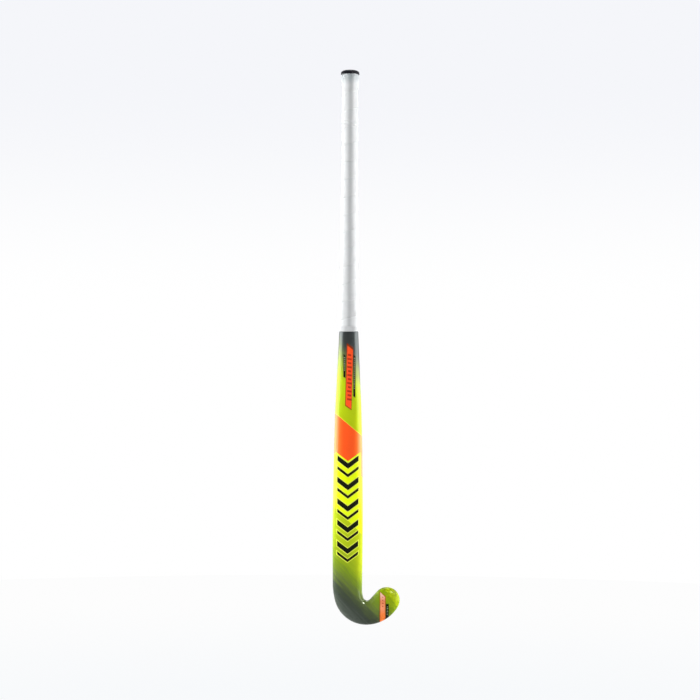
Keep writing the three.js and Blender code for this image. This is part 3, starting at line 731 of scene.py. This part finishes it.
def laminate_rings(lift, steps):
    x, z, angle = head_lines(lift, steps)
    head = rings_on_lines(x, z, angle, lift, SHELL_AROUND)
    start = inner_arc.z + steps.shaft
    heights = np.linspace(start, SHELL_TOP, round((SHELL_TOP - start) / steps.shaft) + 1)
    return np.concatenate([head, shaft_rings(heights, lift, SHELL_AROUND)])


def moulded_shell(material):
    outside = laminate_rings(0.0, FINE)
    inside = laminate_rings(-SHELL_WALL, COARSE)
    rings = np.concatenate([outside, inside[::-1]])
    skin("moulded_shell", rings, material, replaced=["outer_shell"])


# ---- grip, finishing tape and cap ---------------------------------------------------------------
GRIP_AROUND = 96
TAPE_ROW = 0.8
TAPE_PITCH = 29.0
TAPE_OVERLAP = 5.0
TAPE_RIDGE = 0.55
SEAM_DEPTH, SEAM_WIDTH = 0.4, 2.4
TAPE_EDGE = 0.8
CREASE_HEIGHT, CREASE_DEPTH, CREASE_REACH = 836, 0.38, 8
RIPPLE_DEPTH = 0.07
ROLLED_IN = 1.3
PRESSED_LIFT = 1.2
FULL_LIFT = 2.3
FLARE_LIFT = 1.3
TAPE_INSIDE = 0.9
BAND_AROUND = 144
BAND_SEAT = 0.25
LAP_LIFT = 0.14
LAP_STARTS, LAP_ENDS = (4.2, 4.26), (5.6, 5.66)


def smooth(value, low, high):
    t = np.clip((value - low) / (high - low), 0, 1)
    return t * t * (3 - 2 * t)


def tape_lift(z, turns):
    """Height of the wound tape over the laminate, with the ridge where each turn laps the last."""
    body = PRESSED_LIFT + (FULL_LIFT - PRESSED_LIFT) * smooth(z, BAND_TOP, UNDERLAY_BOTTOM)
    body = body + FLARE_LIFT * smooth(z, POMMEL_BOTTOM - 4, SHELL_TOP - 2)
    behind_edge = np.mod(z - GRIP_BOTTOM - TAPE_PITCH * turns / (2 * math.pi), TAPE_PITCH)
    rise = smooth(behind_edge, 0, TAPE_EDGE)
    fall = 1 - smooth(behind_edge, TAPE_OVERLAP * 0.6, TAPE_OVERLAP * 1.6)
    shown = smooth(z, BAND_TOP + 1, BAND_TOP + 6) * (1 - smooth(z, GRIP_TOP - 6, GRIP_TOP - 2))
    ripple = np.sin(z * 0.31 + 2 * turns) * np.sin(z * 0.113 - turns) + 0.6 * np.sin(z * 0.53 + 3 * turns)
    rolled_in = ROLLED_IN * smooth(z, GRIP_TOP - 3.2, GRIP_TOP) ** 2
    near_crease = np.exp(-(((z - CREASE_HEIGHT) / CREASE_REACH) ** 2))
    creased = CREASE_DEPTH * near_crease * np.sin(1.1 * z + 5 * turns)
    seam = smooth(behind_edge, TAPE_PITCH - SEAM_WIDTH, TAPE_PITCH - TAPE_EDGE)
    relief = TAPE_RIDGE * rise * fall - SEAM_DEPTH * seam + RIPPLE_DEPTH * ripple + creased
    return body + shown * relief - rolled_in


def wound_grip(material):
    heights = np.linspace(GRIP_BOTTOM, GRIP_TOP, round((GRIP_TOP - GRIP_BOTTOM) / TAPE_ROW) + 1)
    lift = tape_lift(heights[:, None], ring_angles(GRIP_AROUND)[None, :])
    outside = shaft_rings(heights, lift, GRIP_AROUND)
    # The inside runs down over the pommel ring and the underlay to the bare laminate.
    inner = [(GRIP_TOP, 2.3), (SHELL_TOP - 3, 2.1), (POMMEL_BOTTOM - 3, TAPE_INSIDE),
             (UNDERLAY_BOTTOM, TAPE_INSIDE), (BAND_TOP, 0.2), (GRIP_BOTTOM, 0.2)]
    inside = [shaft_rings([z], lift, GRIP_AROUND)[0] for z, lift in inner]
    rings = np.concatenate([outside, np.array(inside)])
    skin("wound_grip", rings, material, closed=True, replaced=["cushion_grip"])


def finishing_tape(material):
    """A narrow stretched tape over the grip's pressed end, lapped on itself on the back."""
    turns = ring_angles(BAND_AROUND)
    lap = LAP_LIFT * smooth(turns, *LAP_STARTS) * (1 - smooth(turns, *LAP_ENDS))
    over = PRESSED_LIFT + BAND_SEAT
    profile = [
        (BAND_BOTTOM + 0.5, BAND_SEAT), (BAND_BOTTOM, 0.5), (BAND_BOTTOM, over + 0.2),
        (BAND_BOTTOM + 0.4, over + 0.55), (BAND_BOTTOM + 2.4, over + 0.5),
        (BAND_TOP - 0.6, over + 0.35), (BAND_TOP, over + 0.1), (BAND_TOP, over),
        (GRIP_BOTTOM - 0.2, over), (GRIP_BOTTOM - 0.2, BAND_SEAT),
    ]
    rings = []
    for index, (z, lift) in enumerate(profile):
        outer = 2 <= index <= 6
        rings.append(shaft_rings([z], lift + (lap if outer else 0), BAND_AROUND)[0])
    skin("finishing_tape", np.array(rings), material, closed=True,
         replaced=["finishing_band"])


CAP_RADIUS = (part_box("butt_cap")[1].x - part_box("butt_cap")[0].x) / 2 / MILLIMETRE
CAP_LIP_DROP = 1.5
CAP_FLAT = 7.0
DOME_STEPS = 15


def end_cap(material):
    """Domed rubber cap: a lip that hangs over the grip's end, a moulded groove and a shallow ring."""
    under = GRIP_TOP + 0.3
    stem_bottom = heights_of("butt_cap")[0]
    lip = under - CAP_LIP_DROP
    profile = [
        (0, stem_bottom), (3.4, stem_bottom), (4, stem_bottom + 0.8), (4, under),
        (13.6, under), (14.4, under - 0.5), (14.7, lip + 0.2), (15.0, lip), (15.3, lip + 0.1),
        (CAP_RADIUS, lip + 0.5), (CAP_RADIUS, under + 0.3), (CAP_RADIUS - 0.1, under + 0.5),
        (CAP_RADIUS - 0.45, under + 0.6), (CAP_RADIUS - 0.45, under + 0.8),
        (CAP_RADIUS - 0.15, under + 0.95),
    ]
    dome_low, top = under + 1.0, STICK_LENGTH
    for angle in np.linspace(0, math.pi / 2, DOME_STEPS + 1)[1:]:
        radius = CAP_FLAT + (CAP_RADIUS - 0.1 - CAP_FLAT) * math.cos(angle)
        profile.append((radius, dome_low + (top - dome_low) * math.sin(angle)))
    profile += [(6.2, top), (5.9, top - 0.12), (5.6, top - 0.35), (5.2, top - 0.35),
                (4.9, top - 0.12), (4.6, top - 0.02), (0, top)]
    turned("end_cap", profile, material, replaced=["butt_cap"], around=GRIP_AROUND)


# ---- printed graphics ---------------------------------------------------------------------------
CHEVRON_COUNT = 5
CHEVRON_PITCH = 35.5
CHEVRON_FIRST = 262
CHEVRON_HALF_WIDTH = 17.5
CHEVRON_RISE = 13
CHEVRON_STROKES = {"wide": (0, 9), "narrow": (14, 5)}
OUTLINE = 1.3

STRIPE_TOP, STRIPE_TOP_SLOPE = 335.1, 0.84
STRIPE_BOTTOM, STRIPE_BOTTOM_SLOPE = 267.3, 0.857
STRIPE_CUT_HALF = 20.3
STRIPE_CUT_MARGIN = 3.4
STRIPE_EDGE = 0.9


def chevron_outline(tip, stroke, grow=0.0):
    """A V-shaped bar that points down the shaft, grown on every side by grow."""
    slope = CHEVRON_RISE / CHEVRON_HALF_WIDTH
    reach_out = CHEVRON_HALF_WIDTH + grow
    spread = grow * math.hypot(1, slope)
    low, high = tip - spread, tip + stroke + spread
    return [
        (-reach_out, low + slope * reach_out), (0, low), (reach_out, low + slope * reach_out),
        (reach_out, high + slope * reach_out), (0, high), (-reach_out, high + slope * reach_out),
    ]


def chevrons(ink, halo):
    for index in range(CHEVRON_COUNT):
        for name, (drop, stroke) in CHEVRON_STROKES.items():
            tip = CHEVRON_FIRST - index * CHEVRON_PITCH - drop
            number = index + 1
            printed(f"{name}_chevron_{number}", [chevron_outline(tip, stroke)],
                    TOP_LIFT, ink, replaced=[f"{name}_chevron_film_{number}"])
            printed(f"{name}_chevron_outline_{number}", [chevron_outline(tip, stroke, OUTLINE)],
                    UNDER_LIFT, halo)


def stripe_top(x, side):
    return STRIPE_TOP - STRIPE_TOP_SLOPE * x


def stripe_bottom(x, side):
    """The stripe's lower edge: a slanted line, cut back round the first chevron."""
    line = STRIPE_BOTTOM - STRIPE_BOTTOM_SLOPE * x
    stroke = CHEVRON_STROKES["wide"][1]
    chevron_top = CHEVRON_FIRST + stroke + CHEVRON_RISE * np.abs(x / CHEVRON_HALF_WIDTH)
    cut = (side < 0) & (np.abs(x) < STRIPE_CUT_HALF)
    return np.where(cut, np.maximum(line, chevron_top + STRIPE_CUT_MARGIN), line)


def stripe_edge_top(x, side):
    return stripe_top(x, side) + STRIPE_EDGE


def diagonal_stripe(orange, line):
    wrapped_stripe("diagonal_stripe", stripe_bottom, stripe_top, orange,
                   around=288, rows=40, replaced=["diagonal_stripe_film"])
    wrapped_stripe("diagonal_stripe_edge", stripe_top, stripe_edge_top, line,
                   around=144, rows=3)


def slanted_box(left, right, bottom, top, slant, lean=0.0):
    """A plate with slanted ends: its right side lies slant lower than its left, and each millimetre
    of height shifts it by lean."""
    def corner(x, z):
        return (x + lean * (z - (bottom + top) / 2), z - slant * (x - (left + right) / 2) / (right - left))
    return [corner(left, bottom), corner(right, bottom), corner(right, top), corner(left, top)]


def dashes(left, right, low, high, count, thickness, lengths, slant=0.0):
    """A column of short bars of varied length, centred between left and right."""
    middle = (left + right) / 2
    bars = []
    for index in range(count):
        z = low + (high - low) * (index + 0.5) / count
        half = (right - left) / 2 * lengths[index % len(lengths)]
        bars.append(slanted_box(middle - half, middle + half, z - thickness / 2, z + thickness / 2, slant))
    return bars


PLATE_LEAN = 0.024


def nameplates(inks):
    printed("nameplate_edge", [slanted_box(-4.3, 6.6, 362.0, 465.6, 7.6, PLATE_LEAN)],
            UNDER_LIFT, inks.edge)
    printed("nameplate", [slanted_box(-3.3, 6.1, 363.7, 461.8, 7.0, PLATE_LEAN)],
            TOP_LIFT, inks.plate_orange, replaced=["nameplate_film"])
    printed("nameplate_marks", dashes(-2.0, 5.2, 373, 453, 12, 3.1, (1, 0.78, 0.94, 0.68), 1.0),
            MARK_LIFT, inks.rust, cell=MARK_CELL)
    printed("left_plate", [slanted_box(-8.6, -5.0, 412.5, 450, 3.0)],
            TOP_LIFT, inks.black, replaced=["left_plate_film"])
    printed("left_plate_marks", dashes(-7.9, -5.7, 423, 447, 7, 1.3, (0.9, 0.6, 0.8), 0.3),
            MARK_LIFT, inks.pale, cell=MARK_CELL)
    printed("right_plate", [slanted_box(8.0, 11.4, 380.5, 449, 3.0)],
            TOP_LIFT, inks.black, replaced=["right_plate_film"])
    printed("right_plate_marks", dashes(8.6, 10.8, 393, 446, 15, 1.3, (0.8, 0.55, 0.9, 0.7), 0.3),
            MARK_LIFT, inks.pale, cell=MARK_CELL)


TOE_BAR = SimpleNamespace(left=54.0, right=63.6, left_top=56.3, right_top=48.8)
TOE_MARK = SimpleNamespace(left=64.4, right=68.9, left_top=36.5, right_top=36.5)
SOLE_MARGIN = 0.35
# The toe's films run down onto the round of the sole, so they are finer and stand a little prouder.
TOE_CELL = 0.4
TOE_TOP_LIFT, TOE_MARK_LIFT, TOE_UNDER_LIFT = 0.14, 0.18, 0.07


def sole_height(x):
    return sole.z - math.sqrt(sole.radius**2 - (x - sole.x) ** 2)


def toe_bar(bar, margin=SOLE_MARGIN, inset=0.0):
    """A bar from just above the sole up to its slanted top."""
    left, right = bar.left + inset, bar.right - inset
    lower = [(x, sole_height(x) + margin) for x in np.linspace(left, right, 9)]
    return lower + [(right, bar.right_top - inset), (left, bar.left_top - inset)]


def toe_prints(inks):
    printed("toe_bar_edge", [toe_bar(TOE_BAR)], TOE_UNDER_LIFT, inks.rust, cell=TOE_CELL)
    printed("toe_bar", [toe_bar(TOE_BAR, 0.5, 0.9)], TOE_TOP_LIFT, inks.toe_orange,
            replaced=["toe_bar_film"], cell=TOE_CELL)
    printed("toe_bar_marks", dashes(57.2, 60.6, 30, 50, 4, 1.2, (0.5, 0.8, 0.6), 0.6),
            TOE_MARK_LIFT, inks.rust, cell=MARK_CELL)
    printed("toe_mark", [toe_bar(TOE_MARK)], TOE_TOP_LIFT, inks.black,
            replaced=["toe_mark_film"], cell=TOE_CELL)
    printed("toe_mark_marks", dashes(65.6, 68.0, 17, 33, 6, 1.1, (0.8, 0.5), 0.2),
            TOE_MARK_LIFT, inks.pale, cell=MARK_CELL)


# ---- studio -------------------------------------------------------------------------------------
# Metres and watts. The camera stands VIEW_DROP below the height that it looks at.
# The floor turns paler between two distances in millimetres, along an edge that drifts.
FLOOR_NEAR, FLOOR_FAR, FLOOR_DRIFT = 800.0, 2800.0, 160.0
VIEW_DISTANCE = 3.0
VIEW_X = 0.0025
VIEW_HEIGHT = FOOT + 0.4584
VIEW_DROP = 0.052
LENS = 92.62
ROLL = 0.0054
FLOOR_DROP = 0.28
FLOOR_RADIUS = 3.4
FLOOR_POINTS = 96
FLOOR_GLOW = 0.98
BACKDROP_HIGH, BACKDROP_LOW = srgb("f5f6fa"), srgb("ffffff")
ROOM_FRONT, ROOM_BACK = 0.08, 0.5
HORIZON, ROOM_TURN = (0.04, 0.165), (0.1, 0.7)
SIDE_X = 1.5
PANEL_SIZE = (1.6, 2.4)
PANEL_POWER = 100
MIRRORED_SIZE = (1.6, 1.5)
MIRRORED_HEIGHT = FOOT + 0.68
MIRRORED_SIDES = {"left": (-SIDE_X, 0.29, 20), "right": (SIDE_X, 0.15, 16)}
GLINT_PLACE, GLINT_TARGET = (1.6, -1.05, FOOT + 2.4), (0.026, 0, FOOT + 0.04)
GLINT_SIZE, GLINT_POWER = (0.7, 0.7), 36
HIGH_DISTANCE, HIGH_SIZE = 3.6, (2.0, 1.6)
FRONT_POWER, BACK_POWER = 52, 70


def add_camera():
    data = bpy.data.cameras.new("camera")
    data.lens = LENS
    camera = bpy.data.objects.new("camera", data)
    camera.location = (VIEW_X, -VIEW_DISTANCE, VIEW_HEIGHT - VIEW_DROP)
    camera.rotation_euler = (math.pi / 2 + math.atan2(VIEW_DROP, VIEW_DISTANCE), -ROLL, 0)
    bpy.context.scene.collection.objects.link(camera)
    bpy.context.scene.camera = camera


def add_light(name, location, target, size, power, glossy=True, diffuse=True):
    """A rectangular soft light of (width, height) metres, facing target."""
    data = bpy.data.lights.new(name, "AREA")
    data.shape = "RECTANGLE"
    data.size, data.size_y = size
    data.energy = power
    light = bpy.data.objects.new(name, data)
    light.location = location
    light.rotation_euler = (Vector(target) - Vector(location)).to_track_quat("-Z", "Y").to_euler()
    bpy.context.scene.collection.objects.link(light)
    light.visible_camera, light.visible_glossy, light.visible_diffuse = False, glossy, diffuse


def add_lights():
    """Side panels: plain ones that shape the shaft and others that its lacquer mirrors. A small
    light for the crook's glint, and two high ones."""
    middle = (0, 0, FOOT + STICK_LENGTH * MILLIMETRE / 2)
    for name, (x, y, mirrored_power) in MIRRORED_SIDES.items():
        add_light(f"{name}_mirrored", (x, y, MIRRORED_HEIGHT), (0, y, MIRRORED_HEIGHT),
                  MIRRORED_SIZE, mirrored_power, diffuse=False)
        add_light(f"{name}_panel", (x, 0, middle[2]), middle, PANEL_SIZE, PANEL_POWER, glossy=False)
    add_light("crook_glint", GLINT_PLACE, GLINT_TARGET, GLINT_SIZE, GLINT_POWER, diffuse=False)
    add_light("front_high", (0, -HIGH_DISTANCE, HIGH_DISTANCE), middle, HIGH_SIZE, FRONT_POWER,
              glossy=False)
    add_light("back_high", (0, HIGH_DISTANCE, HIGH_DISTANCE), middle, HIGH_SIZE, BACK_POWER)


def add_world():
    """Pale surroundings for the camera; the stick is lit by a dim room that is paler behind it."""
    world = bpy.data.worlds.new("studio")
    world.use_nodes = True
    nodes, links = world.node_tree.nodes, world.node_tree.links
    split = nodes.new("ShaderNodeSeparateXYZ")
    links.new(nodes.new("ShaderNodeTexCoord").outputs["Generated"], split.inputs[0])

    def across(axis, start, end, low, high):
        """A value that runs from low to high as the direction's axis runs from start to end."""
        node = nodes.new("ShaderNodeMapRange")
        node.interpolation_type = "SMOOTHSTEP"
        links.new(split.outputs[axis], node.inputs[0])
        for socket, number in zip(node.inputs[1:], (start, end, low, high)):
            socket.default_value = number
        return node.outputs[0]

    seen, fill = nodes["Background"], nodes.new("ShaderNodeBackground")
    blend = nodes.new("ShaderNodeMix")
    blend.data_type = "RGBA"
    links.new(across("Z", *HORIZON, 0.0, 1.0), blend.inputs["Factor"])
    blend.inputs[MIX_FIRST].default_value = BACKDROP_LOW
    blend.inputs[MIX_SECOND].default_value = BACKDROP_HIGH
    links.new(blend.outputs[MIX_RESULT], seen.inputs["Color"])
    fill.inputs["Color"].default_value = (1, 1, 1, 1)
    links.new(across("Y", *ROOM_TURN, ROOM_FRONT, ROOM_BACK), fill.inputs["Strength"])
    path, choice = nodes.new("ShaderNodeLightPath"), nodes.new("ShaderNodeMixShader")
    links.new(path.outputs["Is Camera Ray"], choice.inputs[0])
    links.new(fill.outputs[0], choice.inputs[1])
    links.new(seen.outputs[0], choice.inputs[2])
    links.new(choice.outputs[0], nodes["World Output"].inputs["Surface"])
    bpy.context.scene.world = world


def add_floor():
    """A pale round floor well below the head, glowing a little so that it melts into the backdrop."""
    turns = ring_angles(FLOOR_POINTS)
    rim = [(FLOOR_RADIUS * math.cos(t), FLOOR_RADIUS * math.sin(t), FOOT - FLOOR_DROP) for t in turns]
    mesh = bpy.data.meshes.new("floor")
    mesh.from_pydata(rim, [], [tuple(range(len(rim)))])
    floor = bpy.data.objects.new("floor", mesh)
    bpy.context.scene.collection.objects.link(floor)
    floor.visible_glossy = False
    paint = Paint("floor")
    drift = paint.noise(paint.at, 0.002, 1)
    flat_distance = paint.vector_length(paint.join(paint.x, paint.y, 0.0))
    away = paint.math("MULTIPLY_ADD", drift, FLOOR_DRIFT, flat_distance)
    glow = paint.mix(paint.step(away, FLOOR_NEAR, FLOOR_FAR), srgb("f9fbfd"), srgb("ffffff"))
    paint.set(Base_Color=srgb("080808"), Roughness=0.9, Specular_IOR_Level=0.0)
    paint.set(Emission_Color=glow, Emission_Strength=FLOOR_GLOW)
    mesh.materials.append(paint.material)


# ---- CAD nodes that stay as they are ------------------------------------------------------------
def paint_inner_parts():
    core = foam_paint("core_foam", srgb("e2d8bd"), 0.9)
    tube = weave_paint("inner_laminate", srgb("3a3b3e"), 2.5)
    finishes = {
        "head_core": core, "heel_side_foam": core, "toe_side_foam": core,
        "heel_side_tube": tube, "toe_side_tube": tube,
        "face_stiffener": weave_paint("stiffener_fibre", srgb("26272a"), 1.4),
        "grip_underlay": foam_paint("underlay_foam", srgb("b9bcbc"), 1.6),
        "pommel_ring": plain_paint("pommel_tape", srgb("3a3a3c"), 1.2, 0.15, 0.8),
        "butt_plug": plain_paint("plug_plastic", srgb("cfc9b8"), 0.8, 0.05, 0.55),
    }
    finishes["back_stiffener"] = finishes["face_stiffener"]
    for name, material in finishes.items():
        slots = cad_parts[name].data.materials
        slots.clear()
        slots.append(material)


# ---- assembly -----------------------------------------------------------------------------------
def make_stick():
    moulded_shell(laminate_paint())
    wound_grip(tape_paint())
    finishing_tape(plain_paint("finishing_tape", srgb("c6c8c9"), 1.5, 0.03, 0.35, 0.03))
    end_cap(rubber_paint())
    inks = SimpleNamespace(
        black=print_paint("print_black", srgb("10140a"), 0.2),
        rust=print_paint("print_rust", srgb("b8341a")),
        edge=print_paint("print_edge", srgb("8f3a18")),
        plate_orange=print_paint("print_plate_orange", srgb("ff5526")),
        toe_orange=toe_bar_paint(),
        pale=print_paint("print_pale", srgb("a8b090")),
        halo=print_paint("print_halo", srgb("e4ef4a")),
    )
    diagonal_stripe(orange_paint(), inks.halo)
    chevrons(inks.black, inks.halo)
    nameplates(inks)
    toe_prints(inks)
    paint_inner_parts()


add_camera()
add_world()
add_lights()
add_floor()
make_stick()
bpy.context.scene.view_settings.view_transform = "Standard"
